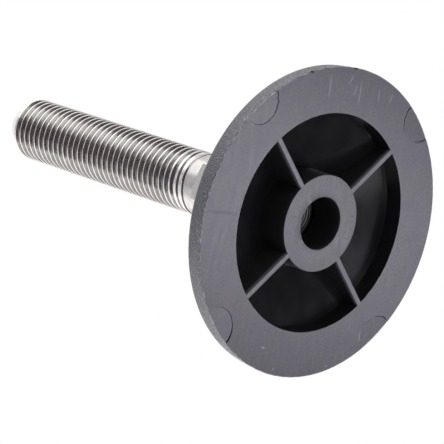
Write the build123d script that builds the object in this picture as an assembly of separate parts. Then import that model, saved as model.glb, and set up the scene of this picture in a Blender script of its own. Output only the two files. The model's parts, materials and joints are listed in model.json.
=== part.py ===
from build123d import *
import os
from math import radians, sqrt, tan

# Adjustable levelling foot: a moulded plastic base and a steel stud whose ball end snaps into it.
# The foot stands on its sole at Z = 0 with the stud pointing up. Lengths in mm, angles in degrees.

# Plate of the base: a round sole, a thick rim and a shallow conical top
sole_diameter = 75.0
rim_height = 5.0
rim_draft = 5.0
rim_edge_chamfer = 0.6
top_slope = 12.5
plate_thickness = 2.9

# Hollow underside: a ring-shaped cavity, crossed by ribs, round a bored boss
cavity_diameter = 52.8
cavity_draft = 2.0
boss_diameter = 23.5
bore_diameter = 12.6
rib_count = 4
rib_thickness = 1.2
rib_draft = 1.5
first_rib_angle = 45.0

# Shallow round marks that the mould's ejector pins leave on the edge of the sole
ejector_diameter = 10.0
ejector_depth = 0.15

# Socket: a hub with a spherical seat and a lip that closes in above the ball's middle
ball_diameter = 20.0
ball_height = 17.1
ball_clearance = 0.2
lip_rise = 4.0
lead_in_height = 1.6
lead_in_angle = 45.0
hub_wall = 3.4
hub_draft = 2.0
hub_foot_radius = 4.0
hub_edge_chamfer = 0.8

# Stud: flat-ended ball, neck, hexagon for a spanner, collar, relief groove and thread
ball_end_diameter = 13.0
neck_diameter = 13.0
swing_room = 4.0
hexagon_sides = 6
hexagon_across = 16.0
hexagon_corner_diameter = 18.2
hexagon_end_diameter = 16.4
hexagon_chamfer = 30.0
hexagon_length = 10.2
hexagon_turn = 13.0
collar_diameter = 15.7
collar_length = 3.8
thread_diameter = 16.0
groove_width = 0.5
groove_depth = 0.35
thread_length = 71.0
tip_diameter = 11.6
tip_angle = 30.0

# Levels and radii that follow from the sizes above
sole_radius = sole_diameter / 2
rim_top_radius = sole_radius - rim_height * tan(radians(rim_draft))
cavity_radius = cavity_diameter / 2
boss_radius = boss_diameter / 2
bore_radius = bore_diameter / 2
ball_radius = ball_diameter / 2
seat_radius = ball_radius + ball_clearance
seat_bottom = ball_height - sqrt(seat_radius**2 - bore_radius**2)
lip_height = ball_height + lip_rise
lip_radius = sqrt(seat_radius**2 - lip_rise**2)
hub_height = lip_height + lead_in_height
mouth_radius = lip_radius + lead_in_height * tan(radians(lead_in_angle))
hub_top_radius = seat_radius + hub_wall
ball_end_height = ball_height - sqrt(ball_radius**2 - (ball_end_diameter / 2) ** 2)
ball_top = ball_height + sqrt(ball_radius**2 - (neck_diameter / 2) ** 2)
hexagon_start = hub_height + swing_room
hexagon_top = hexagon_start + hexagon_length
hexagon_corner_radius = hexagon_corner_diameter / 2
hexagon_end_radius = hexagon_end_diameter / 2
chamfer_height = (hexagon_corner_radius - hexagon_end_radius) * tan(radians(hexagon_chamfer))
collar_radius = collar_diameter / 2
groove_start = hexagon_top + collar_length
thread_start = groove_start + groove_width
stud_tip = thread_start + thread_length
thread_radius = thread_diameter / 2
groove_radius = thread_radius - groove_depth
tip_radius = tip_diameter / 2
tip_length = (thread_radius - tip_radius) / tan(radians(tip_angle))


def plate_top(radius):
    """Height of the base's conical top at a distance from the axis."""
    return rim_height + (rim_top_radius - radius) * tan(radians(top_slope))


def hub_radius(height):
    """Outer radius of the drafted hub at a height."""
    return hub_top_radius + (hub_height - height) * tan(radians(hub_draft))


def turned(section):
    """Solid of revolution about Z from a flat section drawn in radius and height."""
    return revolve(Plane.XZ * section, axis=Axis.Z)


def corner(section, radius, height):
    """The corner of a flat section at a radius and height."""
    return section.vertices().sort_by_distance((radius, height))[0]


def base_body():
    """The base before its underside is hollowed out: plate, hub, socket and bore."""
    slopes = tan(radians(top_slope)) * tan(radians(hub_draft))
    hub_base_radius = hub_radius(plate_top(0)) / (1 - slopes)
    hub_base_height = plate_top(hub_base_radius)
    outside = Polyline(
        (bore_radius, seat_bottom),
        (bore_radius, 0),
        (sole_radius, 0),
        (rim_top_radius, rim_height),
        (hub_base_radius, hub_base_height),
        (hub_top_radius, hub_height),
        (mouth_radius, hub_height),
        (lip_radius, lip_height),
    )
    seat = ThreePointArc(
        (lip_radius, lip_height), (seat_radius, ball_height), (bore_radius, seat_bottom)
    )
    section = make_face(outside + seat)
    section = fillet(corner(section, hub_base_radius, hub_base_height), hub_foot_radius)
    section = chamfer(corner(section, rim_top_radius, rim_height), rim_edge_chamfer)
    section = chamfer(corner(section, hub_top_radius, hub_height), hub_edge_chamfer)
    return turned(section)


def rib(angle):
    """One radial rib, thinner at the sole than at its root, long enough to cross the cavity."""
    root_height = plate_top(boss_radius)
    half_sole = rib_thickness / 2
    half_root = half_sole + root_height * tan(radians(rib_draft))
    section = Polyline(
        (-half_sole, 0),
        (half_sole, 0),
        (half_root, root_height),
        (-half_root, root_height),
        close=True,
    )
    bar = extrude(make_face(Plane.YZ * section), amount=sole_radius)
    return Rot(Z=angle) * bar


def pockets():
    """The hollows of the underside: a ring with a conical ceiling, divided by the ribs."""
    ceiling_outer = plate_top(cavity_radius) - plate_thickness
    cavity_top_radius = cavity_radius - ceiling_outer * tan(radians(cavity_draft))
    outline = Polyline(
        (boss_radius, 0),
        (cavity_radius, 0),
        (cavity_top_radius, plate_top(cavity_top_radius) - plate_thickness),
        (boss_radius, plate_top(boss_radius) - plate_thickness),
        close=True,
    )
    ring = turned(make_face(outline))
    spacing = 360 / rib_count
    for number in range(rib_count):
        ring -= rib(first_rib_angle + number * spacing)
    return ring


def ejector_marks():
    """Round marks on the edge of the sole, one in line with each rib."""
    mark = Cylinder(
        ejector_diameter / 2, ejector_depth, align=(Align.CENTER, Align.CENTER, Align.MIN)
    )
    spots = PolarLocations(sole_radius, rib_count, start_angle=first_rib_angle)
    return [spot * mark for spot in spots]


def foot_base():
    """The whole moulding of the base."""
    body = base_body() - pockets()
    for mark in ejector_marks():
        body -= mark
    return body


def ball_stud():
    """The stud, turned from one bar, with its thread left as a plain round of full diameter."""
    end_radius = ball_end_diameter / 2
    neck_radius = neck_diameter / 2
    ball = ThreePointArc(
        (end_radius, ball_end_height), (ball_radius, ball_height), (neck_radius, ball_top)
    )
    shaft = Polyline(
        (neck_radius, ball_top),
        (neck_radius, hexagon_start),
        (hexagon_end_radius, hexagon_start),
        (hexagon_corner_radius, hexagon_start + chamfer_height),
        (hexagon_corner_radius, hexagon_top - chamfer_height),
        (hexagon_end_radius, hexagon_top),
        (collar_radius, hexagon_top),
        (collar_radius, groove_start),
        (groove_radius, groove_start),
        (groove_radius, thread_start),
        (thread_radius, thread_start),
        (thread_radius, stud_tip - tip_length),
        (tip_radius, stud_tip),
        (0, stud_tip),
        (0, ball_end_height),
        (end_radius, ball_end_height),
    )
    stud = turned(make_face(ball + shaft))
    waste = Box(
        hexagon_corner_diameter,
        hexagon_corner_radius,
        hexagon_length,
        align=(Align.CENTER, Align.MIN, Align.MIN),
    )
    spacing = 360 / hexagon_sides
    for side in range(hexagon_sides):
        turn = Rot(Z=hexagon_turn + side * spacing)
        stud -= turn * Pos(0, hexagon_across / 2, hexagon_start) * waste
    return stud


os.makedirs("parts", exist_ok=True)
export_step(foot_base(), "parts/foot_base.step")
export_step(ball_stud(), "parts/ball_stud.step")
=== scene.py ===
import json
import math

import bmesh
import bpy
import numpy as np
from mathutils import Matrix, Vector

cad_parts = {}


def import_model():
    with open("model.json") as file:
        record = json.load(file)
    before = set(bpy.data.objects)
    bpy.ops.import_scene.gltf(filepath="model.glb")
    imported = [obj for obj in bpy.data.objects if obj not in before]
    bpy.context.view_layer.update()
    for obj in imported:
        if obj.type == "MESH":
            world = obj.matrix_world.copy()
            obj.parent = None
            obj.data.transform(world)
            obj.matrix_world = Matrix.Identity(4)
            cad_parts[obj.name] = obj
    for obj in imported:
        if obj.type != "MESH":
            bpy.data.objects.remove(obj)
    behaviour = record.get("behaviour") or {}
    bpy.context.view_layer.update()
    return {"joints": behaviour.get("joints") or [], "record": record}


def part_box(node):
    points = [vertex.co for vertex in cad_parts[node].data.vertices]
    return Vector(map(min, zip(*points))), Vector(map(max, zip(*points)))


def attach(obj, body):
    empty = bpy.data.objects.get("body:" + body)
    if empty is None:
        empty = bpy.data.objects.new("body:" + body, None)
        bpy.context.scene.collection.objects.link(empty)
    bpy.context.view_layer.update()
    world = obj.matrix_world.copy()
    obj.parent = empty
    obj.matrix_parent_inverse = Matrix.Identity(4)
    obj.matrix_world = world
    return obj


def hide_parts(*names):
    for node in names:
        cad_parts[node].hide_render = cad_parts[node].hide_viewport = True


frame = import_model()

# Adjustable levelling foot: a black plastic base and a steel stud with a thread and a ball end.
# Sizes are in millimetres and angles in degrees. The scene itself is in metres.
MM = 0.001
base_box = [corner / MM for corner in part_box("foot_base")]
stud_box = [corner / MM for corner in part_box("ball_stud")]
mounts = {mount["name"]: mount for mount in frame["record"]["mounts"]}

# Plate of the base
sole_radius = base_box[1].x
rim_height = 5.0
rim_draft = 5.0
rim_edge_chamfer = 0.6
rim_edge_radius = 0.8
sole_edge_radius = 0.12
sole_edge_band = 2.0
top_slope = 12.5
plate_thickness = 2.9

# Hollow underside, with its ribs and its bored boss
cavity_radius = 26.4
cavity_draft = 2.0
boss_radius = 11.75
bore_radius = 6.3
bore_edge_radius = 0.15
rib_count = 4
rib_half_width = 0.6
rib_draft = 1.5
pocket_edge_radius = 0.12

# Marks of the mould's ejector pins: turn round the base, and the way and slope of each pin's end
ejector_radius = 5.0
ejector_depth = 0.13
ejector_edge = 0.06
ejector_flare = 0.6
ejector_reach = 1.0
ejector_marks = (
    {"azimuth": -45, "lean_towards": 20, "lean": 1.0},
    {"azimuth": 45, "lean_towards": 250, "lean": 0.8},
    {"azimuth": 135, "lean_towards": 290, "lean": 0.6},
    {"azimuth": -135, "lean_towards": 150, "lean": 1.1},
)

# Curved cracks along those marks, by their turn round the mark, and nicks in the sole's edge.
# A crack wanders in waves of (rate, offset, size) and widens from a share of its full width.
cracks = (
    {"azimuth": -135, "radius": 5.0, "start": 73, "end": 128, "width": 0.5, "wander": 0.03},
    {"azimuth": -45, "radius": 4.8, "start": 112, "end": 46, "width": 0.26, "wander": 0.2},
    {"azimuth": 45, "radius": 4.6, "start": 190, "end": 142, "width": 0.26, "wander": 0.1},
    {"azimuth": 45, "radius": 5.5, "start": 243, "end": 307, "width": 0.36, "wander": 0.1},
    {"azimuth": 135, "radius": 5.0, "start": 305, "end": 392, "width": 0.22, "wander": 0.06},
)
crack_depth = 0.6
crack_waves = ((17, 0, 1.0), (43, 1, 0.6))
crack_start_width = 0.25
nicks = (
    {"azimuth": -20, "radius": 0.55},
    {"azimuth": 1.5, "radius": 0.7},
)

# Hub and socket
ball_radius = stud_box[1].x
ball_height = frame["joints"][0]["pos_m"][2] / MM
seat_radius = 10.2
lip_rise = 4.0
hub_height = base_box[1].z
hub_top_radius = 13.6
hub_draft = 2.0
hub_foot_radius = 4.0
hub_edge_chamfer = 0.8
hub_edge_radius = 0.15
mouth_radius = 10.983

# Stud
ball_end_radius = 6.5
ball_end_rings = 7
ball_end_ring_depth = 0.12
ball_end_ring_top = 0.65
neck_radius = 6.5
hexagon_start = 26.7
hexagon_top = 36.9
hexagon_sides = 6
hexagon_half_width = 8.0
hexagon_corner_radius = 9.1
hexagon_end_radius = 8.2
hexagon_chamfer = 30.0
hexagon_azimuth = -77.0
collar_radius = 7.85
collar_edge = 0.08
groove_start = 40.7
groove_radius = 7.65
thread_start = 41.2
thread_radius = mounts["stud_thread"]["dims"]["r_mm"]
stud_tip = stud_box[1].z
tip_radius = 5.8
tip_angle = 30.0

# Thread: a metric profile, right-handed, whose grooves run out towards the groove above the collar
thread_pitch = 2.0
thread_depth = 1.2
flank_angle = 30.0
crest_radius = thread_radius - 0.03
crest_half_width = 0.2
crest_rounding = 0.06
root_rounding = 0.08
rounding_inset = 0.8
crest_height = 48.0
crest_azimuth = -80.6
run_out_top = 48.0
run_out_length = 9.0
tip_run_out_length = 1.2
tip_plain_length = 3.4

# How finely the meshes are divided, what is merged, and from which angle an edge is hard
pocket_steps = 60
rib_steps = 4
pocket_rows = 16
round_steps = 5
sole_rows = 4
seat_steps = 16
ejector_steps = 96
crack_steps = 40
nick_divisions = 2
stud_steps = 128
ball_steps = 28
tip_ring_shares = (0.97, 0.6, 0.25)
merge_distance = 0.002
smallest_edge = 0.0005
base_sharp_angle = 35.0
stud_sharp_angle = 25.0

# Materials. Each noise is (features to the metre, detail, roughness), and depths are in millimetres.
grained_colour = (0.018, 0.0175, 0.020)
sole_colour = (0.088, 0.084, 0.103)
glossy_colour = (0.014, 0.0137, 0.0163)
steel_colour = (0.56, 0.54, 0.53)
turned_colour = (0.53, 0.511, 0.503)
# The ball's flat end: the same steel darker, painted shade from the bore round it
ball_end_shade_colour = (0.17, 0.165, 0.165)
plastic_index = 1.52
shade_span = (0.7, 1.3)
noise_span = (0.3, 0.7)

# Outside of the base: its grain, and pale flecks near the sole
grain_index = 1.6
grain_specular = 1.0
grain_tint = (0.88, 0.86, 1.0, 1.0)
grain_clouds = (180, 3)
grain_noise = (1900, 2, 0.6)
grain_depth = 0.28
grain_roughness = (0.22, 0.5)
grain_pale_span = (0.42, 0.62)
grain_paleness = 3.2
fleck_noise = (1500, 1)
fleck_span = (0.6, 0.67)
fleck_paleness = 25.0
fleck_height = 2.4
fleck_patches = (90, 2)
fleck_patch_span = (0.4, 0.55)

# Sole: clouds, streaks, grain, warmer and cooler smears, a painted highlight along its edge, rib edges
# paler towards the rim, and painted shade on the boss
sole_clouds = (260, 4, 0.6)
streak_stretch = (110, 900, 1)
streak_noise = (1, 3, 0.6)
streak_contrast = 0.13
streak_depth = 0.003
sole_roughness = (0.32, 0.37)
sole_grain = (1500, 2, 0.6)
sole_grain_contrast = 0.22
sole_smears = (130, 3, 0.6)
smear_span = (0.35, 0.65)
smear_reach = 0.5
sole_warmth = (0.008, 0.004, -0.02)
# Painted highlight along the sole's rounded outer edge, broken up by noise
edge_highlight_noise = (700, 2)
edge_highlight_span = (0.4, 0.65)
painted_edge_highlight = (1.5, 6.0)
# Rib edges paler towards the rim
rib_edge_paleness = 0.55
# Painted shade on the boss's flat face
painted_boss_shade = 0.34

# Marks of use on the sole: the two ends of each, in millimetres across the sole
pale_scratches = (
    ((35.0, -6.4), (29.6, -5.9)),
    ((35.7, 0.8), (33.3, -0.2)),
    ((33.6, 2.6), (30.7, 2.2)),
    ((34.5, 3.9), (28.3, 4.2)),
    ((33.1, 10.3), (30.0, 10.6)),
    ((32.5, 15.0), (30.3, 14.5)),
    ((-25.2, 20.9), (-28.2, 21.3)),
)
pale_specks = (
    ((-30.5, -10.8), (-30.6, -9.7)),
    ((-35.4, -5.6), (-35.8, -5.6)),
    ((-34.2, 11.8), (-34.6, 11.8)),
)
dark_lines = (
    ((0.6, -37.3), (0.6, -27.0)),
    ((1.0, -10.6), (1.0, -6.5)),
)
scratch_half_width = 0.32
speck_half_width = 0.22
dark_line_half_width = 0.6
line_fade = (1.1, 0.5)
scratch_paleness = 2.0
speck_paleness = 5.0
dark_line_shade = 0.75

# Hollow: walls with drag streaks and painted light on their lowest part, and the polished ceiling
wall_roughness = 0.5
drag_stretch = (1400, 1400, 60)
drag_noise = (1, 2)
drag_depth = 0.004
# Painted light on the rib and boss walls, palest at the sole and gone at this height
painted_light_height = 1.3
rib_painted_light = 20.0
boss_painted_light = 1.4
gloss_clouds = (220, 2)
gloss_roughness = (0.13, 0.17)
gloss_depth = 0.002

# Steel: turned rings, lines along the thread with a painted highlight on the crests, and cutter lines on
# the flats
steel_clouds = (400, 2)
turned_stretch = (70, 70, 2600)
turned_noise = (1, 4, 0.7)
turned_roughness = (0.24, 0.36)
turned_depth = 0.012
threaded_stretch = (120, 120, 9000)
threaded_noise = (1, 2, 0.6)
threaded_roughness = (0.16, 0.28)
threaded_depth = 0.002
crest_band = (0.12, 0.04)
# Painted highlight on the thread's crests
painted_crest_highlight = 0.2
milled_stretch = (4000, 4000, 200)
milled_noise = (1, 2, 0.6)
milled_roughness = (0.3, 0.42)
milled_depth = 0.004

# Floor, with a gap under the sole whose edge lets light from below through
floor_radius = 3000.0
floor_rings = (60.0, 150.0, 500.0)
floor_hole = sole_radius - 0.15
floor_lit_edge = sole_radius + 0.4
floor_steps = 256
floor_level = -0.02
floor_fade_start = 60.0
floor_fade_end = 900.0
floor_colour = (0.86, 0.86, 0.86, 1.0)

# Light: the world's level, and what the lamps and cards point at
ambient_level = 0.45
card_steps = 48
stud_middle = (0, 0, 50)
sole_middle = (0, 0, 0)
tip_middle = (0, 0, stud_tip)
white_light = (1.0, 1.0, 1.0)
violet_light = (0.98, 0.96, 1.08)
dark_card = (0.04, 0.04, 0.045)
brown_card = (0.085, 0.064, 0.067)
dim_card = (0.5, 0.5, 0.55)
grey_card = (0.6, 0.575, 0.57)
collar_card = (0.85, 0.82, 0.815)
tip_card = (1.2, 1.2, 1.2)
pale_card = (1.3, 1.3, 1.35)

# Soft lamps: name, way from the target, distance, target, width, height, radiance, colour
lamps = (
    ("right_softbox", (0.6, -0.24, 0.717), 600, stud_middle, 430, 430, 0.9, white_light),
    ("left_softbox", (-0.69, -0.1, 0.717), 600, stud_middle, 430, 430, 0.62, white_light),
    ("top_softbox", (0.0, 0.5, 0.8), 700, stud_middle, 700, 350, 1.2, white_light),
    ("sole_softbox", (-0.1, 0.645, -0.752), 470, sole_middle, 70, 172, 11.3, violet_light),
)

# Round cards that only reflections see: name, way from the target, distance, target, half angle, colour
cards = (
    ("dark_card_behind_sole_lamp", (0.05, 0.7, -0.71), 700, sole_middle, 40, dark_card),
    ("pale_card_below", (-0.38, 0.36, -0.85), 600, sole_middle, 10, pale_card),
    ("dim_card_below", (0.09, 0.39, -0.915), 600, sole_middle, 7, dim_card),
    ("dark_card_to_the_right", (0.58, 0.48, -0.65), 700, stud_middle, 23, brown_card),
    ("grey_card_to_the_left", (-0.73, 0.17, -0.66), 700, stud_middle, 24, grey_card),
    ("dark_card_behind_camera", (0.0, -0.8, -0.6), 700, stud_middle, 45, brown_card),
    ("grey_card_in_front", (0.05, -0.67, 0.74), 650, stud_middle, 17, dim_card),
    ("pale_card_in_front", (0.11, -0.71, 0.69), 600, stud_middle, 8, collar_card),
    ("dark_card_in_front", (0.15, -0.96, 0.1), 700, stud_middle, 22, brown_card),
    ("grey_card_behind_stud", (0.23, 0.66, 0.72), 500, stud_middle, 13, grey_card),
    ("pale_card_above_tip", (-0.05, 0.3, 0.95), 400, tip_middle, 14, tip_card),
)

# The camera looks up at the sole: the way it looks, how it is rolled, where it sees the sole's centre,
# its lens and its limits in metres
look_azimuth = 100.295
look_elevation = 45.842
camera_roll = -70.974
sole_to_right = 23.155
sole_below = 0.350
sole_distance = 659.885
focal_length = 227.73
sensor_width = 36.0
camera_near = 0.01
camera_far = 20.0


def polar(radius, angle, height):
    """A point of the frame, in metres, from a radius and height in millimetres and an angle."""
    return Vector((radius * math.cos(angle), radius * math.sin(angle), height)) * MM


def rounded(outline):
    """An outline of (radius, height, corner radius) with each such corner turned into an arc."""
    points = [Vector(outline[0][:2])]
    for before, here, after in zip(outline, outline[1:], outline[2:]):
        corner = Vector(here[:2])
        if not here[2]:
            points.append(corner)
            continue
        way_in = (corner - Vector(before[:2])).normalized()
        way_out = (Vector(after[:2]) - corner).normalized()
        turn = way_in.angle(way_out)
        reach = here[2] * math.tan(turn / 2)
        inward = (way_out - way_in).normalized()
        centre = corner + inward * here[2] / math.cos(turn / 2)
        start = corner - way_in * reach - centre
        end = corner + way_out * reach - centre
        for step in range(round_steps + 1):
            share = step / round_steps
            points.append(centre + start.slerp(end, share) * here[2])
    points.append(Vector(outline[-1][:2]))
    return [tuple(point) for point in points]


def join_rows(mesh, first, second, finish, closed=True):
    """Four-sided faces between two rows of as many points, all of one finish or each of its own."""
    count = len(first)
    finishes = finish if isinstance(finish, list) else [finish] * count
    for number in range(count if closed else count - 1):
        after = (number + 1) % count
        corners = (first[number], first[after], second[after], second[number])
        mesh.faces.new(corners).material_index = finishes[number]


def add_row(mesh, points):
    """New corners of a mesh at a row of points."""
    return [mesh.verts.new(point) for point in points]


def finished_piece(name, mesh, materials, sharp_angle):
    """An object from a finished mesh: doubles merged, faces turned outward, hard edges kept."""
    bmesh.ops.remove_doubles(mesh, verts=mesh.verts, dist=merge_distance * MM)
    bmesh.ops.dissolve_degenerate(mesh, edges=mesh.edges, dist=smallest_edge * MM)
    bmesh.ops.recalc_face_normals(mesh, faces=mesh.faces)
    data = bpy.data.meshes.new(name)
    mesh.to_mesh(data)
    mesh.free()
    for material in materials:
        data.materials.append(material)
    data.shade_smooth()
    data.set_sharp_from_angle(angle=math.radians(sharp_angle))
    piece = bpy.data.objects.new(name, data)
    bpy.context.scene.collection.objects.link(piece)
    return piece


def even_normals(piece):
    """Keep large faces flat in the shading, so that only the rounded edges between them bend."""
    even = piece.modifiers.new("even normals", "WEIGHTED_NORMAL")
    even.keep_sharp = True


# Base

GRAINED, SOLE, GLOSSY, RIB, BOSS = range(5)


def plate_top(radius):
    """Height of the base's conical top at a distance from the axis."""
    rim_top = sole_radius - rim_height * math.tan(math.radians(rim_draft))
    return rim_height + (rim_top - radius) * math.tan(math.radians(top_slope))


def ceiling(radius):
    """Height of the hollow's ceiling at a distance from the axis."""
    return plate_top(radius) - plate_thickness


def base_ring(radius, height):
    """A row of points round the base, spaced to suit the pockets and the ribs between them."""
    half_width = rib_half_width - pocket_edge_radius
    half_turn = math.pi / rib_count
    slant = math.asin(half_width / radius)
    points = []
    for number in range(rib_count):
        middle = 2 * half_turn * number
        for step in range(pocket_steps + 1):
            across = 2 * step / pocket_steps - 1
            points.append(polar(radius, middle + across * (half_turn - slant), height))
        for step in range(1, rib_steps):
            offset = half_width * (2 * step / rib_steps - 1)
            points.append(polar(radius, middle + half_turn + math.asin(offset / radius), height))
    return points


def pocket_point(middle, across, along, spread, height_at):
    """A point on a pocket: across from rib to rib (-1 to 1), along from rim to boss (0 to 1),
    on an outline that is spread wider than the pocket's own."""
    outer = cavity_radius - height_at(cavity_radius) * math.tan(math.radians(cavity_draft)) + spread
    inner = boss_radius - spread
    radius = outer + (inner - outer) * along
    height = height_at(radius)
    half_width = rib_half_width + height * math.tan(math.radians(rib_draft)) - spread
    reach = math.pi / rib_count - math.asin(half_width / radius)
    return polar(radius, middle + across * reach, height)


def flat_sole(radius):
    """Height of the sole, which is the same all over."""
    return 0.0


def pocket_loop(middle, spread, height_at):
    """The points once round a pocket's outline."""
    across = [2 * step / pocket_steps - 1 for step in range(pocket_steps)]
    along = [step / pocket_rows for step in range(pocket_rows)]
    places = [(share, 0) for share in across]
    places += [(1, share) for share in along]
    places += [(-share, 1) for share in across]
    places += [(-1, 1 - share) for share in along]
    return [pocket_point(middle, *place, spread, height_at) for place in places]


def pocket_levels():
    """The outlines of a pocket from the sole to its ceiling: spread, and height at a radius."""
    levels = [(pocket_edge_radius, flat_sole)]
    for step in range(1, round_steps + 1):
        turn = math.pi / 2 * step / round_steps
        rise = pocket_edge_radius * (1 - math.cos(turn))
        levels.append((pocket_edge_radius * (1 - math.sin(turn)), lambda radius, rise=rise: rise))
    levels.append((0, ceiling))
    return levels


def add_pocket(mesh, middle):
    """One hollow of the underside: rounded edge, walls and ceiling."""
    rows = [add_row(mesh, pocket_loop(middle, *level)) for level in pocket_levels()]
    finishes = [GLOSSY] * pocket_steps + [RIB] * pocket_rows
    finishes += [BOSS] * pocket_steps + [RIB] * pocket_rows
    for low, high in zip(rows, rows[1:]):
        join_rows(mesh, low, high, finishes)
    across = [2 * step / pocket_steps - 1 for step in range(pocket_steps + 1)]
    before = None
    for step in range(pocket_rows + 1):
        along = step / pocket_rows
        points = [pocket_point(middle, share, along, 0, ceiling) for share in across]
        row = add_row(mesh, points)
        if before:
            join_rows(mesh, before, row, GLOSSY, closed=False)
        before = row


def add_rib_edge(mesh, middle):
    """The narrow flat edge of a rib, from the ring of the sole to the boss."""
    half_width = rib_half_width - pocket_edge_radius
    outer = cavity_radius + pocket_edge_radius
    inner = boss_radius - pocket_edge_radius
    before = None
    for step in range(pocket_rows + 1):
        radius = outer + (inner - outer) * step / pocket_rows
        offsets = [half_width * (2 * side / rib_steps - 1) for side in range(rib_steps + 1)]
        row = add_row(mesh, [polar(radius, middle + math.asin(side / radius), 0) for side in offsets])
        if before:
            join_rows(mesh, before, row, SOLE, closed=False)
        before = row


def base_outline():
    """The turned outline of the base, from the sole's ring over the top and the hub, and down the bore
    to the boss, as runs of (finish, points)."""
    hub_rise = hub_height - plate_top(hub_top_radius)
    hub_foot = hub_top_radius + hub_rise * math.tan(math.radians(hub_draft))
    rim_top = sole_radius - rim_height * math.tan(math.radians(rim_draft))
    side_turn = math.radians(rim_draft)
    top_turn = math.radians(top_slope)
    rim_side = Vector((math.sin(side_turn), -math.cos(side_turn))) * rim_edge_chamfer
    rim_inward = Vector((-math.cos(top_turn), math.sin(top_turn))) * rim_edge_chamfer
    rim_corner = Vector((rim_top, rim_height))
    lip_radius = math.sqrt(seat_radius**2 - lip_rise**2)
    sole_inner = cavity_radius + pocket_edge_radius
    sole_width = sole_radius - sole_edge_band - sole_inner
    sole = []
    for step in range(sole_rows):
        sole.append((sole_inner + sole_width * step / (sole_rows - 1), 0.0))
    outside = rounded(
        (
            (*sole[-1], 0),
            (sole_radius, 0, sole_edge_radius),
            (*(rim_corner + rim_side), rim_edge_radius),
            (*(rim_corner + rim_inward), rim_edge_radius),
            (hub_foot, plate_top(hub_foot), hub_foot_radius),
            (hub_top_radius, hub_height - hub_edge_chamfer, hub_edge_radius),
            (hub_top_radius - hub_edge_chamfer, hub_height, hub_edge_radius),
            (mouth_radius, hub_height, hub_edge_radius),
            (lip_radius, ball_height + lip_rise, 0),
        )
    )
    lip_turn = math.acos(lip_rise / seat_radius)
    bore_turn = math.pi - math.asin(bore_radius / seat_radius)
    seat = []
    for step in range(1, seat_steps + 1):
        turn = lip_turn + (bore_turn - lip_turn) * step / seat_steps
        seat.append((seat_radius * math.sin(turn), ball_height + seat_radius * math.cos(turn)))
    boss_middle = (bore_radius + boss_radius) / 2
    bore = rounded(((*seat[-1], 0), (bore_radius, 0, bore_edge_radius), (boss_middle, 0, 0)))
    boss_edge = (boss_radius - pocket_edge_radius, 0.0)
    edge_end = round_steps + 2
    return (
        (SOLE, sole + outside[1:edge_end]),
        (GRAINED, outside[edge_end - 1 :]),
        (GLOSSY, [outside[-1]] + seat),
        (BOSS, bore[:edge_end]),
        (SOLE, bore[edge_end - 1 :] + [boss_edge]),
    )


def ejector_cutters(mesh):
    """Short, slightly leaning round cutters that leave the ejector pins' marks in the sole."""
    for mark in ejector_marks:
        azimuth = math.radians(mark["azimuth"])
        way = math.radians(mark["lean_towards"])
        axis = Vector((-math.sin(way), math.cos(way), 0))
        lean = Matrix.Rotation(math.radians(mark["lean"]), 4, axis)
        place = Matrix.Translation(polar(sole_radius, azimuth, 0)) @ lean
        outline = (
            (ejector_radius + ejector_flare, -ejector_reach),
            (ejector_radius + ejector_edge, 0.0),
            (ejector_radius, ejector_depth),
        )
        turns = [2 * math.pi * step / ejector_steps for step in range(ejector_steps)]
        rows = []
        for radius, height in outline:
            rows.append(add_row(mesh, [place @ polar(radius, turn, height) for turn in turns]))
        for low, high in zip(rows, rows[1:]):
            join_rows(mesh, low, high, SOLE)
        mesh.faces.new(reversed(rows[0])).material_index = SOLE
        mesh.faces.new(rows[-1]).material_index = SOLE


def damage_cutters(mesh):
    """Curved wedges that leave the cracks, and small balls that leave the nicks."""
    for crack in cracks:
        place = Matrix.Translation(polar(sole_radius, math.radians(crack["azimuth"]), 0))
        inner = []
        outer = []
        for step in range(crack_steps + 1):
            share = step / crack_steps
            angle = math.radians(crack["start"] + (crack["end"] - crack["start"]) * share)
            waves = [size * math.sin(rate * share + offset) for rate, offset, size in crack_waves]
            radius = crack["radius"] + crack["wander"] * sum(waves)
            width = crack["width"] * (crack_start_width + (1 - crack_start_width) * share)
            inner.append(place @ polar(radius, angle, -crack_depth))
            outer.append(place @ polar(radius + width, angle, -crack_depth))
        outline = inner + outer[::-1]
        lift = Vector((0, 0, 2 * crack_depth * MM))
        low = add_row(mesh, outline)
        high = add_row(mesh, [point + lift for point in outline])
        join_rows(mesh, low, high, SOLE)
        for ends in (low, high):
            join_rows(mesh, ends[: crack_steps + 1], ends[:crack_steps:-1], SOLE, closed=False)
    for nick in nicks:
        place = Matrix.Translation(polar(sole_radius, math.radians(nick["azimuth"]), 0))
        size = nick["radius"] * MM
        bmesh.ops.create_icosphere(mesh, subdivisions=nick_divisions, radius=size, matrix=place)


def cut_away(piece, cutter):
    """Take a cutter's shape out of a piece for good."""
    cut = piece.modifiers.new("cut", "BOOLEAN")
    cut.object = cutter
    cut.operation = "DIFFERENCE"
    cut.solver = "EXACT"
    bpy.context.view_layer.update()
    graph = bpy.context.evaluated_depsgraph_get()
    piece.data = bpy.data.meshes.new_from_object(piece.evaluated_get(graph))
    piece.modifiers.clear()
    bpy.data.objects.remove(cutter)


def foot_base(materials):
    """The moulded base as one mesh, with rounded edges, the ejector pins' marks and its damage."""
    mesh = bmesh.new()
    for finish, points in base_outline():
        rows = [add_row(mesh, base_ring(*point)) for point in points]
        for low, high in zip(rows, rows[1:]):
            join_rows(mesh, low, high, finish)
    for number in range(rib_count):
        middle = 2 * math.pi * number / rib_count
        add_pocket(mesh, middle)
        add_rib_edge(mesh, middle + math.pi / rib_count)
    base = finished_piece("foot_base_moulding", mesh, materials, base_sharp_angle)
    named_cutters = {"ejector_cutters": ejector_cutters, "damage_cutters": damage_cutters}
    for name, add_cutters in named_cutters.items():
        cutters = bmesh.new()
        add_cutters(cutters)
        cut_away(base, finished_piece(name, cutters, materials, base_sharp_angle))
    base.data.set_sharp_from_angle(angle=math.radians(base_sharp_angle))
    even_normals(base)
    return base


# Stud

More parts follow.
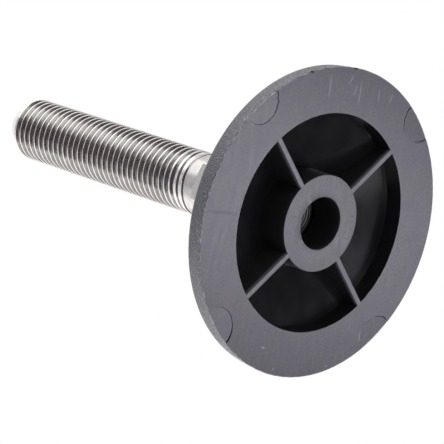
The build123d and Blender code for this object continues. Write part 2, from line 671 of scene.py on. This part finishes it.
TURNED, THREADED, MILLED, BALL_END = range(4)


def from_flat(angle):
    """How far an angle is from the middle of the hexagon's nearest flat."""
    side = 2 * math.pi / hexagon_sides
    return (angle - math.radians(hexagon_azimuth) + side / 2) % side - side / 2


def stud_angles():
    """The angles that the stud's mesh is divided at, with the ends of the hexagon's edges among them."""
    angles = [2 * math.pi * step / stud_steps for step in range(stud_steps)]
    for limit in (hexagon_end_radius, hexagon_corner_radius):
        reach = math.acos(hexagon_half_width / limit)
        for side in range(hexagon_sides):
            middle = math.radians(hexagon_azimuth) + 2 * math.pi * side / hexagon_sides
            for wanted in ((middle - reach) % (2 * math.pi), (middle + reach) % (2 * math.pi)):
                nearest = min(range(stud_steps), key=lambda number: abs(angles[number] - wanted))
                angles[nearest] = wanted
    return angles


def hexagon_rows(angles):
    """The hexagon's rows of points, from end to end, with both ends chamfered at the corners."""
    slope = math.tan(math.radians(hexagon_chamfer))
    rows = [[], [], [], []]
    for angle in angles:
        reach = min(hexagon_corner_radius, hexagon_half_width / math.cos(from_flat(angle)))
        end = min(reach, hexagon_end_radius)
        drop = (reach - end) * slope
        rows[0].append(polar(end, angle, hexagon_start))
        rows[1].append(polar(reach, angle, hexagon_start + drop))
        rows[2].append(polar(reach, angle, hexagon_top - drop))
        rows[3].append(polar(end, angle, hexagon_top))
    return rows


def eased(value, width):
    """Zero below zero and the value above it, with a smooth turn of that half width."""
    turn = (np.clip(value, -width, width) + width) ** 2 / (4 * width)
    return np.where(value > width, value, turn)


def threaded_radius(height, angle):
    """Radius of the thread at a height and angle, with its run-out and the chamfered tip."""
    turned_by = (angle - math.radians(crest_azimuth)) / (2 * math.pi)
    turns = (height - crest_height) / thread_pitch - turned_by
    from_crest = np.abs(turns - np.round(turns)) * thread_pitch
    slope = 1 / math.tan(math.radians(flank_angle))
    root_edge = crest_half_width + thread_depth / slope
    depth = eased(from_crest - crest_half_width, crest_rounding)
    depth = depth - eased(from_crest - root_edge, root_rounding)
    towards_collar = (run_out_top - height) / run_out_length
    towards_tip = 1 - (stud_tip - tip_plain_length - height) / tip_run_out_length
    retreat = thread_depth * np.clip(np.maximum(towards_collar, towards_tip), 0, 1)
    radius = crest_radius - np.maximum(depth * slope - retreat, 0)
    tip_limit = tip_radius + (stud_tip - height) * math.tan(math.radians(tip_angle))
    return np.minimum(radius, tip_limit)


def thread_offsets():
    """Heights within one pitch, from the crest, at which the thread's mesh has a row."""
    slope = 1 / math.tan(math.radians(flank_angle))
    root_edge = crest_half_width + thread_depth / slope
    half = [crest_half_width - crest_rounding * rounding_inset]
    half += [crest_half_width, crest_half_width + crest_rounding]
    half += [(crest_half_width + root_edge) / 2]
    half += [root_edge - root_rounding, root_edge, root_edge + root_rounding * rounding_inset]
    return [-half[0]] + half + [thread_pitch - offset for offset in reversed(half[1:])]


def add_thread(mesh, angles):
    """The thread, in rows that climb with it and stop at its two ends. Returns its end rings."""
    offsets = thread_offsets()
    turn = np.array(angles)
    climb = thread_pitch * (turn - math.radians(crest_azimuth)) / (2 * math.pi)
    first = math.floor((thread_start - crest_height - climb.max()) / thread_pitch)
    last = math.ceil((stud_tip - crest_height - climb.min()) / thread_pitch)
    rows = []
    for number in range(first, last + 1):
        for offset in offsets:
            height = crest_height + number * thread_pitch + offset + climb
            height = np.clip(height, thread_start, stud_tip)
            radius = threaded_radius(height, turn)
            rows.append(add_row(mesh, [polar(r, a, h) for r, a, h in zip(radius, turn, height)]))
    for low, high in zip(rows, rows[1:]):
        join_rows(mesh, low, high, THREADED, closed=False)
    step = len(offsets)
    for low, high, low_on, high_on in zip(rows, rows[1:], rows[step:], rows[step + 1 :]):
        mesh.faces.new((low[-1], low_on[0], high_on[0], high[-1])).material_index = THREADED
    return rows[0], rows[-1]


def ball_end_outline():
    """The rings that the lathe left on the ball's flat end."""
    end_height = ball_height - math.sqrt(ball_radius**2 - ball_end_radius**2)
    ring_width = ball_end_radius / (ball_end_rings + 1)
    points = []
    for number in range(ball_end_rings):
        points.append((ring_width * (number + ball_end_ring_top), end_height + ball_end_ring_depth))
        points.append((ring_width * (number + 1), end_height))
    return points


def ball_outline():
    """The turned outline of the ball, from its flat end to the neck."""
    end_turn = math.asin(ball_end_radius / ball_radius)
    neck_turn = math.pi - math.asin(neck_radius / ball_radius)
    points = ball_end_outline()
    for step in range(ball_steps + 1):
        turn = end_turn + (neck_turn - end_turn) * step / ball_steps
        points.append((ball_radius * math.sin(turn), ball_height - ball_radius * math.cos(turn)))
    return points


def ring(mesh, angles, radius, height):
    """A round row of the stud's mesh."""
    return add_row(mesh, [polar(radius, angle, height) for angle in angles])


def ball_stud(materials):
    """The stud as one mesh: ball, neck, hexagon, collar, groove and thread."""
    mesh = bmesh.new()
    angles = stud_angles()
    lower = ball_outline() + [(neck_radius, hexagon_start)]
    collar = [
        (collar_radius, hexagon_top),
        (collar_radius, groove_start - collar_edge),
        (collar_radius - collar_edge, groove_start),
        (groove_radius, groove_start),
        (groove_radius, thread_start),
    ]
    rows = [ring(mesh, angles, *place) for place in lower]
    mesh.faces.new(rows[0]).material_index = BALL_END
    end_rows = len(ball_end_outline())
    hexagon = [add_row(mesh, points) for points in hexagon_rows(angles)]
    rows += hexagon
    rows += [ring(mesh, angles, *place) for place in collar]
    flat_reach = math.acos(hexagon_half_width / hexagon_corner_radius)
    next_angles = angles[1:] + [2 * math.pi + angles[0]]
    middles = [(here + after) / 2 for here, after in zip(angles, next_angles)]
    sides = [MILLED if abs(from_flat(middle)) < flat_reach else TURNED for middle in middles]
    for number, (low, high) in enumerate(zip(rows, rows[1:])):
        round_finish = BALL_END if number < end_rows else TURNED
        join_rows(mesh, low, high, sides if low is hexagon[1] else round_finish)
    thread_first, thread_last = add_thread(mesh, angles)
    join_rows(mesh, rows[-1], thread_first, TURNED)
    before = thread_last
    for share in tip_ring_shares:
        row = ring(mesh, angles, tip_radius * share, stud_tip)
        join_rows(mesh, before, row, TURNED)
        before = row
    mesh.faces.new(before).material_index = TURNED
    stud = finished_piece("threaded_ball_stud", mesh, materials, stud_sharp_angle)
    even_normals(stud)
    return stud


# Materials

def add_node(tree, kind, inputs=None, **settings):
    """A node of a kind, with its settings, and with its inputs set or linked."""
    made = tree.nodes.new(kind)
    for name, value in settings.items():
        setattr(made, name, value)
    for name, value in (inputs or {}).items():
        if isinstance(value, bpy.types.NodeSocket):
            tree.links.new(value, made.inputs[name])
        else:
            made.inputs[name].default_value = value
    return made


def math_node(tree, operation, *values):
    """The result of one sum on numbers or sockets."""
    return add_node(tree, "ShaderNodeMath", dict(enumerate(values)), operation=operation).outputs[0]


def ramp(tree, value, low, high, low_result=0.0, high_result=1.0):
    """A value's place between two limits, as a number between two results."""
    inputs = {"Value": value, "From Min": low, "From Max": high}
    inputs.update({"To Min": low_result, "To Max": high_result})
    return add_node(tree, "ShaderNodeMapRange", inputs).outputs["Result"]


def new_material(name, **shader):
    """A material with one Principled shader. Returns it, its nodes and the shader."""
    material = bpy.data.materials.new(name)
    material.use_nodes = True
    tree = material.node_tree
    principled = tree.nodes["Principled BSDF"]
    for socket, value in shader.items():
        principled.inputs[socket.replace("_", " ")].default_value = value
    return material, tree, principled


def noise(tree, place, scale, detail=2.0, roughness=0.5):
    """Noise of so many features to the metre at a place."""
    inputs = {"Vector": place, "Scale": scale, "Detail": detail, "Roughness": roughness}
    return add_node(tree, "ShaderNodeTexNoise", inputs).outputs["Fac"]


def stretched(tree, place, factors):
    """A place with its axes scaled by three factors, for streaks."""
    inputs = {"Vector": place, "Scale": factors}
    return add_node(tree, "ShaderNodeMapping", inputs, vector_type="POINT").outputs["Vector"]


def bumped(tree, height, depth):
    """The surface normal with a height in it, so many millimetres deep."""
    inputs = {"Height": height, "Distance": depth * MM, "Strength": 1.0}
    return add_node(tree, "ShaderNodeBump", inputs).outputs["Normal"]


def shaded(tree, colour, amount, marks=None):
    """A colour made darker and paler by an amount from 0 to 1, and by marks."""
    factor = ramp(tree, amount, 0.0, 1.0, *shade_span)
    if marks:
        factor = math_node(tree, "ADD", factor, marks)
    scaled = add_node(tree, "ShaderNodeVectorMath", {0: colour}, operation="SCALE")
    tree.links.new(factor, scaled.inputs["Scale"])
    return scaled.outputs["Vector"]


def line_mask(tree, place, start, end, half_width):
    """How much a place lies on a line across the sole, from 0 to 1."""
    along = Vector(end) - Vector(start)
    middle = (Vector(start) + Vector(end)) / 2 * MM
    frame_of_line = {
        "Vector": place,
        "Location": (*middle, 0),
        "Rotation": (0, 0, math.atan2(along.y, along.x)),
    }
    local = add_node(tree, "ShaderNodeMapping", frame_of_line, vector_type="TEXTURE").outputs["Vector"]
    parts = add_node(tree, "ShaderNodeSeparateXYZ", {"Vector": local}).outputs
    reach = along.length / 2 * MM
    limits = [reach * share for share in line_fade]
    lengthwise = ramp(tree, math_node(tree, "ABSOLUTE", parts["X"]), *limits)
    crosswise = ramp(tree, math_node(tree, "ABSOLUTE", parts["Y"]), half_width * MM, 0.0)
    return math_node(tree, "MULTIPLY", lengthwise, crosswise)


def most_of(tree, masks):
    """The largest of several masks."""
    largest = masks[0]
    for mask in masks[1:]:
        largest = math_node(tree, "MAXIMUM", largest, mask)
    return largest


def object_place(tree):
    """The place on the piece, in the piece's own frame."""
    return add_node(tree, "ShaderNodeTexCoord").outputs["Object"]


def grained_plastic():
    """Outside of the base: a fine spark-eroded grain."""
    gloss = {"Specular_IOR_Level": grain_specular, "IOR": grain_index, "Specular_Tint": grain_tint}
    material, tree, principled = new_material("black_plastic_grained", **gloss)
    place = object_place(tree)
    clouds = noise(tree, place, *grain_clouds)
    fine = noise(tree, place, *grain_noise)
    height = add_node(tree, "ShaderNodeSeparateXYZ", {"Vector": place}).outputs["Z"]
    low = ramp(tree, height, fleck_height * MM, 0.0)
    patches = ramp(tree, noise(tree, place, *fleck_patches), *fleck_patch_span)
    flecks = ramp(tree, noise(tree, place, *fleck_noise), *fleck_span, 0.0, fleck_paleness)
    flecks = math_node(tree, "MULTIPLY", flecks, math_node(tree, "MULTIPLY", low, patches))
    flecks = math_node(tree, "ADD", flecks, ramp(tree, fine, *grain_pale_span, 0.0, grain_paleness))
    tree.links.new(shaded(tree, grained_colour, clouds, flecks), principled.inputs["Base Color"])
    tree.links.new(ramp(tree, fine, *noise_span, *grain_roughness), principled.inputs["Roughness"])
    tree.links.new(bumped(tree, fine, grain_depth), principled.inputs["Normal"])
    return material


def sole_paleness(tree, place, radius):
    """How much paler the sole is in places: scratches, specks, a painted highlight along its edge, and
    rib edges paler towards the rim.
    """
    scratches = [line_mask(tree, place, *ends, scratch_half_width) for ends in pale_scratches]
    specks = [line_mask(tree, place, *ends, speck_half_width) for ends in pale_specks]
    edge_start = sole_radius - 2 * sole_edge_radius
    edge_end = sole_radius - sole_edge_radius
    edge = ramp(tree, radius, edge_start * MM, edge_end * MM)
    # painted highlight along the sole's rounded edge, broken up by noise
    painted_edge_glint = ramp(tree, noise(tree, place, *edge_highlight_noise), *edge_highlight_span, *painted_edge_highlight)
    # rib edges paler towards the rim
    on_rib = math_node(tree, "LESS_THAN", radius, cavity_radius * MM)
    rib_paleness = ramp(tree, radius, boss_radius * MM, cavity_radius * MM, 0.0, rib_edge_paleness)
    kinds = [
        math_node(tree, "MULTIPLY", most_of(tree, scratches), scratch_paleness),
        math_node(tree, "MULTIPLY", most_of(tree, specks), speck_paleness),
        math_node(tree, "MULTIPLY", edge, painted_edge_glint),
        math_node(tree, "MULTIPLY", on_rib, rib_paleness),
    ]
    return most_of(tree, kinds)


def sole_plastic():
    """Flat faces that stand on the floor: matt, with faint streaks, grain, marks of use, a painted
    highlight along the edge and painted shade on the boss.
    """
    material, tree, principled = new_material("black_plastic_sole", IOR=plastic_index)
    place = object_place(tree)
    clouds = noise(tree, place, *sole_clouds)
    streaks = noise(tree, stretched(tree, place, streak_stretch), *streak_noise)
    radius = add_node(tree, "ShaderNodeVectorMath", {0: place}, operation="LENGTH").outputs["Value"]
    dark = [line_mask(tree, place, *ends, dark_line_half_width) for ends in dark_lines]
    darker = math_node(tree, "MULTIPLY", most_of(tree, dark), dark_line_shade)
    # painted shade on the boss's flat face
    on_boss = math_node(tree, "LESS_THAN", radius, boss_radius * MM)
    darker = math_node(tree, "MAXIMUM", darker, math_node(tree, "MULTIPLY", on_boss, painted_boss_shade))
    marks = math_node(tree, "SUBTRACT", sole_paleness(tree, place, radius), darker)
    lines = ramp(tree, streaks, *noise_span, -streak_contrast, streak_contrast)
    marks = math_node(tree, "ADD", marks, lines)
    grain = noise(tree, place, *sole_grain)
    grain = ramp(tree, grain, *noise_span, -sole_grain_contrast, sole_grain_contrast)
    marks = math_node(tree, "ADD", marks, grain)
    smears = ramp(tree, noise(tree, place, *sole_smears), *smear_span, -smear_reach, smear_reach)
    warmed = {0: smears, 1: sole_warmth, 2: sole_colour}
    tone = add_node(tree, "ShaderNodeVectorMath", warmed, operation="MULTIPLY_ADD").outputs[0]
    tree.links.new(shaded(tree, tone, clouds, marks), principled.inputs["Base Color"])
    tree.links.new(ramp(tree, streaks, *noise_span, *sole_roughness), principled.inputs["Roughness"])
    tree.links.new(bumped(tree, streaks, streak_depth), principled.inputs["Normal"])
    return material


def wall_plastic(name, lit_paleness):
    """Walls of the ribs, the boss and the bore, with painted light on their lowest part near the sole.
    """
    material, tree, principled = new_material(name, Roughness=wall_roughness, IOR=plastic_index)
    place = object_place(tree)
    drags = noise(tree, stretched(tree, place, drag_stretch), *drag_noise)
    height = add_node(tree, "ShaderNodeSeparateXYZ", {"Vector": place}).outputs["Z"]
    # painted light, palest at the sole and gone at a set height
    painted_wall_light = ramp(tree, height, 0.0, painted_light_height * MM, lit_paleness, 0.0)
    tree.links.new(shaded(tree, glossy_colour, drags, painted_wall_light), principled.inputs["Base Color"])
    tree.links.new(bumped(tree, drags, drag_depth), principled.inputs["Normal"])
    return material


def glossy_plastic():
    """Ceiling and outer wall of the hollow, and the socket, as the polished mould leaves them."""
    material, tree, principled = new_material("black_plastic_glossy", IOR=plastic_index)
    place = object_place(tree)
    clouds = noise(tree, place, *gloss_clouds)
    tree.links.new(shaded(tree, glossy_colour, clouds), principled.inputs["Base Color"])
    tree.links.new(ramp(tree, clouds, *noise_span, *gloss_roughness), principled.inputs["Roughness"])
    tree.links.new(bumped(tree, clouds, gloss_depth), principled.inputs["Normal"])
    return material


def turned_steel(name, colour):
    """Stainless steel with the fine rings of the lathe."""
    material, tree, principled = new_material(name, Metallic=1.0)
    place = object_place(tree)
    rings = noise(tree, stretched(tree, place, turned_stretch), *turned_noise)
    clouds = noise(tree, place, *steel_clouds)
    tree.links.new(shaded(tree, colour, clouds), principled.inputs["Base Color"])
    tree.links.new(ramp(tree, rings, *noise_span, *turned_roughness), principled.inputs["Roughness"])
    tree.links.new(bumped(tree, rings, turned_depth), principled.inputs["Normal"])
    return material


def threaded_steel():
    """The cut thread: the same steel, with fine lines round it and a painted highlight on the crests."""
    material, tree, principled = new_material("stainless_steel_threaded", Metallic=1.0)
    place = object_place(tree)
    rings = noise(tree, stretched(tree, place, threaded_stretch), *threaded_noise)
    clouds = noise(tree, place, *steel_clouds)
    level = add_node(tree, "ShaderNodeVectorMath", {0: place, 1: (1, 1, 0)}, operation="MULTIPLY")
    radius = add_node(tree, "ShaderNodeVectorMath", {0: level.outputs[0]}, operation="LENGTH")
    limits = [(crest_radius - below) * MM for below in crest_band]
    # painted highlight on the crests
    crest = ramp(tree, radius.outputs["Value"], *limits, 0.0, painted_crest_highlight)
    tree.links.new(shaded(tree, steel_colour, clouds, crest), principled.inputs["Base Color"])
    tree.links.new(ramp(tree, rings, *noise_span, *threaded_roughness), principled.inputs["Roughness"])
    tree.links.new(bumped(tree, rings, threaded_depth), principled.inputs["Normal"])
    return material


def milled_steel():
    """The spanner flats: the same steel, duller, with straight cutter lines."""
    material, tree, principled = new_material("stainless_steel_milled", Metallic=1.0)
    place = object_place(tree)
    lines = noise(tree, stretched(tree, place, milled_stretch), *milled_noise)
    tree.links.new(shaded(tree, steel_colour, lines), principled.inputs["Base Color"])
    tree.links.new(ramp(tree, lines, *noise_span, *milled_roughness), principled.inputs["Roughness"])
    tree.links.new(bumped(tree, lines, milled_depth), principled.inputs["Normal"])
    return material


# Stage, light and camera

def pale_floor(name, lets_light_through):
    """Matt pale paint that fades to white far off, and isn't there from below or in a reflection."""
    material = bpy.data.materials.new(name)
    material.use_nodes = True
    tree = material.node_tree
    tree.nodes.clear()
    path = add_node(tree, "ShaderNodeLightPath").outputs
    behind = add_node(tree, "ShaderNodeNewGeometry").outputs["Backfacing"]
    hidden = math_node(tree, "MULTIPLY", path["Is Camera Ray"], behind)
    hidden = math_node(tree, "MAXIMUM", hidden, path["Is Glossy Ray"])
    if lets_light_through:
        hidden = math_node(tree, "MAXIMUM", hidden, path["Is Shadow Ray"])
    distance = add_node(tree, "ShaderNodeVectorMath", {0: object_place(tree)}, operation="LENGTH")
    far = ramp(tree, distance.outputs["Value"], floor_fade_start * MM, floor_fade_end * MM)
    faded = math_node(tree, "MULTIPLY", far, path["Is Camera Ray"])
    diffuse = add_node(tree, "ShaderNodeBsdfDiffuse", {"Color": floor_colour}).outputs[0]
    white = add_node(tree, "ShaderNodeEmission").outputs[0]
    clear = add_node(tree, "ShaderNodeBsdfTransparent").outputs[0]
    mixed = add_node(tree, "ShaderNodeMixShader", {"Fac": faded, 1: diffuse, 2: white}).outputs[0]
    mixed = add_node(tree, "ShaderNodeMixShader", {"Fac": hidden, 1: mixed, 2: clear}).outputs[0]
    add_node(tree, "ShaderNodeOutputMaterial", {"Surface": mixed})
    return material


def floor():
    """A pale floor with a gap under the sole, whose edge lets the light from below reach the sole."""
    mesh = bmesh.new()
    rows = []
    turns = [2 * math.pi * step / floor_steps for step in range(floor_steps)]
    for radius in (floor_hole, floor_lit_edge, *floor_rings, floor_radius):
        rows.append(add_row(mesh, [polar(radius, turn, floor_level) for turn in turns]))
    for low, high in zip(rows, rows[1:]):
        join_rows(mesh, high, low, 0)
    for corner in rows[0]:
        for face in corner.link_faces:
            face.material_index = 1
    data = bpy.data.meshes.new("floor")
    mesh.to_mesh(data)
    mesh.free()
    data.materials.append(pale_floor("pale_floor", False))
    data.materials.append(pale_floor("pale_floor_at_sole", True))
    made = bpy.data.objects.new("floor", data)
    bpy.context.scene.collection.objects.link(made)


def world():
    """White all round for the camera and for reflections, and a soft even light for the rest."""
    made = bpy.data.worlds.new("studio")
    made.use_nodes = True
    bpy.context.scene.world = made
    tree = made.node_tree
    path = add_node(tree, "ShaderNodeLightPath").outputs
    direct = math_node(tree, "MAXIMUM", path["Is Camera Ray"], path["Is Glossy Ray"])
    direct = math_node(tree, "MAXIMUM", direct, path["Is Transmission Ray"])
    background = tree.nodes["Background"]
    background.inputs["Color"].default_value = (1, 1, 1, 1)
    tree.links.new(ramp(tree, direct, 0, 1, ambient_level, 1.0), background.inputs["Strength"])


def set_facing(made, way, distance, target):
    """Put a lamp or a card so many millimetres from a target, that way from it, turned back to it."""
    direction = Vector(way).normalized()
    made.location = (Vector(target) + direction * distance) * MM
    made.rotation_euler = direction.to_track_quat("Z", "Y").to_euler()
    made.visible_camera = False
    bpy.context.scene.collection.objects.link(made)


def softbox(name, way, distance, target, width, height, radiance, colour):
    """A soft lamp of that size."""
    lamp = bpy.data.lights.new(name, "AREA")
    lamp.color = colour
    lamp.shape = "RECTANGLE"
    lamp.size = width * MM
    lamp.size_y = height * MM
    lamp.energy = radiance * math.pi * lamp.size * lamp.size_y
    set_facing(bpy.data.objects.new(name, lamp), way, distance, target)


def card(name, way, distance, target, half_angle, colour):
    """A round card of one colour, seen in reflections only."""
    radius = distance * math.tan(math.radians(half_angle)) * MM
    mesh = bmesh.new()
    bmesh.ops.create_circle(mesh, cap_ends=True, radius=radius, segments=card_steps)
    data = bpy.data.meshes.new(name)
    mesh.to_mesh(data)
    mesh.free()
    material = bpy.data.materials.new(name)
    material.use_nodes = True
    tree = material.node_tree
    tree.nodes.clear()
    glow = add_node(tree, "ShaderNodeEmission", {"Color": (*colour, 1)}).outputs[0]
    add_node(tree, "ShaderNodeOutputMaterial", {"Surface": glow})
    data.materials.append(material)
    made = bpy.data.objects.new(name, data)
    set_facing(made, way, distance, target)
    made.visible_diffuse = False
    made.visible_shadow = False


def camera():
    """The camera at the photograph's angle."""
    azimuth = math.radians(look_azimuth)
    elevation = math.radians(look_elevation)
    forward = polar(math.cos(elevation), azimuth, math.sin(elevation)) / MM
    level = forward.cross(Vector((0, 0, 1))).normalized()
    upright = level.cross(forward)
    roll = math.radians(camera_roll)
    right = level * math.cos(roll) + upright * math.sin(roll)
    up = upright * math.cos(roll) - level * math.sin(roll)
    place = up * sole_below - right * sole_to_right - forward * sole_distance
    data = bpy.data.cameras.new("camera")
    data.sensor_width = sensor_width
    data.lens = focal_length
    data.clip_start = camera_near
    data.clip_end = camera_far
    made = bpy.data.objects.new("camera", data)
    turn = Matrix((right, up, -forward)).transposed().to_4x4()
    made.matrix_world = Matrix.Translation(place * MM) @ turn
    bpy.context.scene.collection.objects.link(made)
    bpy.context.scene.camera = made


# Rib and boss walls: the same plastic with painted light near the sole
rib_plastic = wall_plastic("black_plastic_rib", rib_painted_light)
boss_plastic = wall_plastic("black_plastic_boss", boss_painted_light)
base = foot_base([grained_plastic(), sole_plastic(), glossy_plastic(), rib_plastic, boss_plastic])
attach(base, "base")
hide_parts("foot_base")

turned = turned_steel("stainless_steel_turned", turned_colour)
# The ball's flat end in painted shade: the same steel, darker
ball_end = turned_steel("stainless_steel_ball_end_in_painted_shade", ball_end_shade_colour)
stud = ball_stud([turned, threaded_steel(), milled_steel(), ball_end])
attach(stud, "stud")
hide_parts("ball_stud")

floor()
world()
for values in lamps:
    softbox(*values)
for values in cards:
    card(*values)
camera()
bpy.context.scene.view_settings.view_transform = "Standard"
